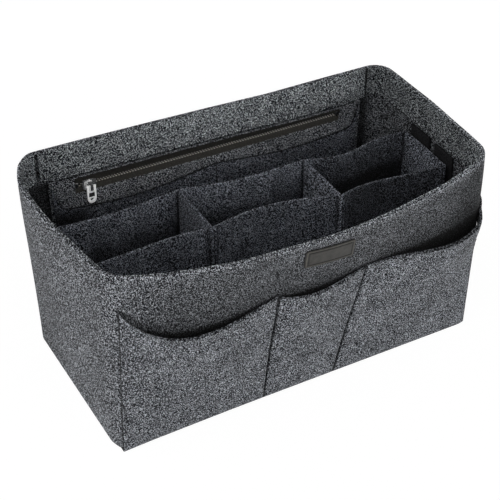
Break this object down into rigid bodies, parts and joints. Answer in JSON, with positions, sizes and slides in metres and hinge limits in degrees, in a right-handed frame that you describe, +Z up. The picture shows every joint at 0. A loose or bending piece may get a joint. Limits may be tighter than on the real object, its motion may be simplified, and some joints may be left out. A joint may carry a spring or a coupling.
{
  "type": "felt purse organizer insert",
  "caption": "Soft felt purse organizer with a zipped pocket, slip pockets, front pockets, a lift-out divider insert and hook-and-loop end strips.",
  "frame": {"origin": "the middle of the case's underside, where it stands", "axes": "+X along the long side, to the right as seen from the front; the front faces -Y; +Z up through the open mouth"},
  "size_m": [0.3151, 0.1856, 0.155],
  "materials": {
    "felt": "charcoal melange felt, matte and fibrous",
    "zip_tape": "black woven polyester tape",
    "zip_coil": "moulded nylon coil",
    "zip_metal": "polished silver plating",
    "label_leather": "dark embossed leather with a plain border",
    "hook_and_loop": "black hook-and-loop tape"
  },
  "bodies": {
    "case": {"outer_band": "felt", "base_panel": "felt", "facing_rear": "felt", "facing_wrap": "felt", "zip_panel": "felt", "slip_pocket_panel": "felt", "front_pocket_panel": "felt", "zipper_tape_upper": "zip_tape", "zipper_tape_lower": "zip_tape", "zipper_coil_upper": "zip_coil", "zipper_coil_lower": "zip_coil", "zipper_top_stop": "zip_metal", "zipper_bottom_stop": "zip_metal", "label_patch": "label_leather", "loop_strip_left_front": "hook_and_loop", "loop_strip_left_rear": "hook_and_loop", "loop_strip_right_front": "hook_and_loop", "loop_strip_right_rear": "hook_and_loop"},
    "zipper_slider": {"zipper_slider": "zip_metal"},
    "zipper_pull": {"zipper_pull": "zip_metal"},
    "divider_insert": {"divider_rear_wall": "felt", "divider_front_wall": "felt", "divider_cross_wall_left": "felt", "divider_cross_wall_right": "felt", "divider_end_panel_left": "felt", "divider_end_panel_right": "felt", "hook_strip_left_front": "hook_and_loop", "hook_strip_left_rear": "hook_and_loop", "hook_strip_right_front": "hook_and_loop", "hook_strip_right_rear": "hook_and_loop"}
  },
  "joints": [
    {"name": "zipper_slide", "type": "slide", "parent": "case", "child": "zipper_slider", "axis": [0.9994, -0.0341, 0], "range_m": [0, 0.2]},
    {"name": "zipper_pull_swing", "type": "hinge", "parent": "zipper_slider", "child": "zipper_pull", "pos_m": [-0.09914, 0.06779, 0.121], "axis": [-0.9994, 0.0341, 0], "range_deg": [0, 175]},
    {"name": "divider_lift", "type": "slide", "parent": "case", "child": "divider_insert", "axis": [0, 0, 1], "range_m": [0, 0.16]}
  ]
}
